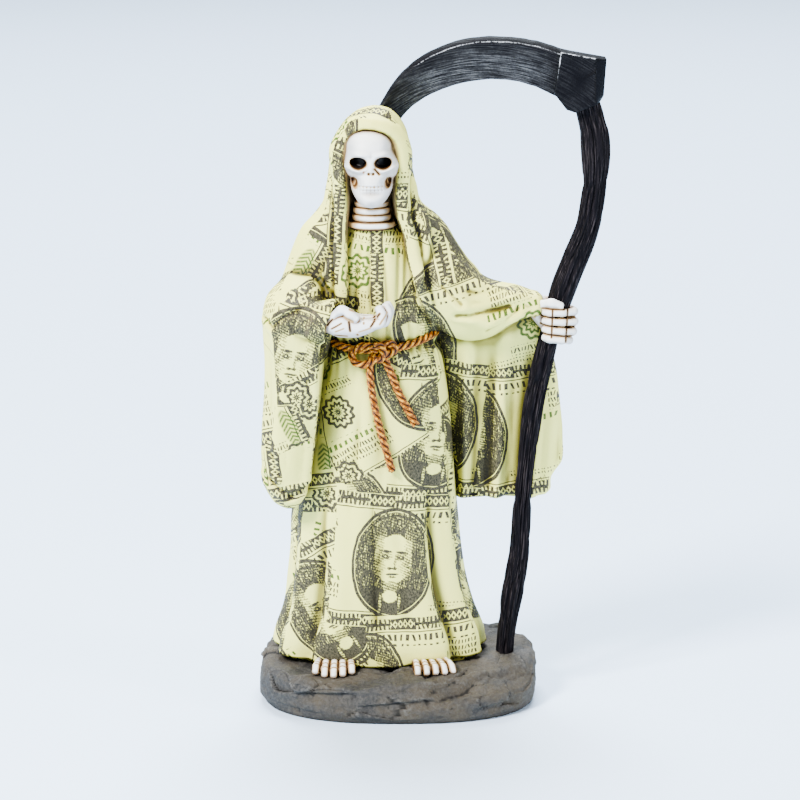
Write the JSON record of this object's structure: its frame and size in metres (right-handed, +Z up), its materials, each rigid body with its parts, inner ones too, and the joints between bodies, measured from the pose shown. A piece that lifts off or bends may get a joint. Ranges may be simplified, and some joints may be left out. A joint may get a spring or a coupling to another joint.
{
  "type": "skeleton statue",
  "caption": "Standing robed skeleton statue on a rock base, one hand cupped and the other holding a tall scythe whose blade curves back over the hood.",
  "frame": {"origin": "centre of the rock base's flat underside", "axes": "+Z up through the figure, +X toward the side that holds the scythe, -Y the way the figure faces"},
  "size_m": [0.1217, 0.072, 0.235],
  "materials": {
    "rock_paint": "matt grey paint with brown patches on cast resin",
    "robe_print": null,
    "scythe_black": "satin black with silver-grey dry-brushed streaks",
    "bone_paint": "glossy bone white with a brown wash in the hollows",
    "rope_paint": "copper-brown metallic paint on a cast rope",
    "handle_black": "satin near-black wood-grooved casting with a purple-brown tint"
  },
  "bodies": {
    "root": {"rock_base": "rock_paint", "robed_skeleton": "robe_print", "scythe": "scythe_black"}
  },
  "joints": []
}
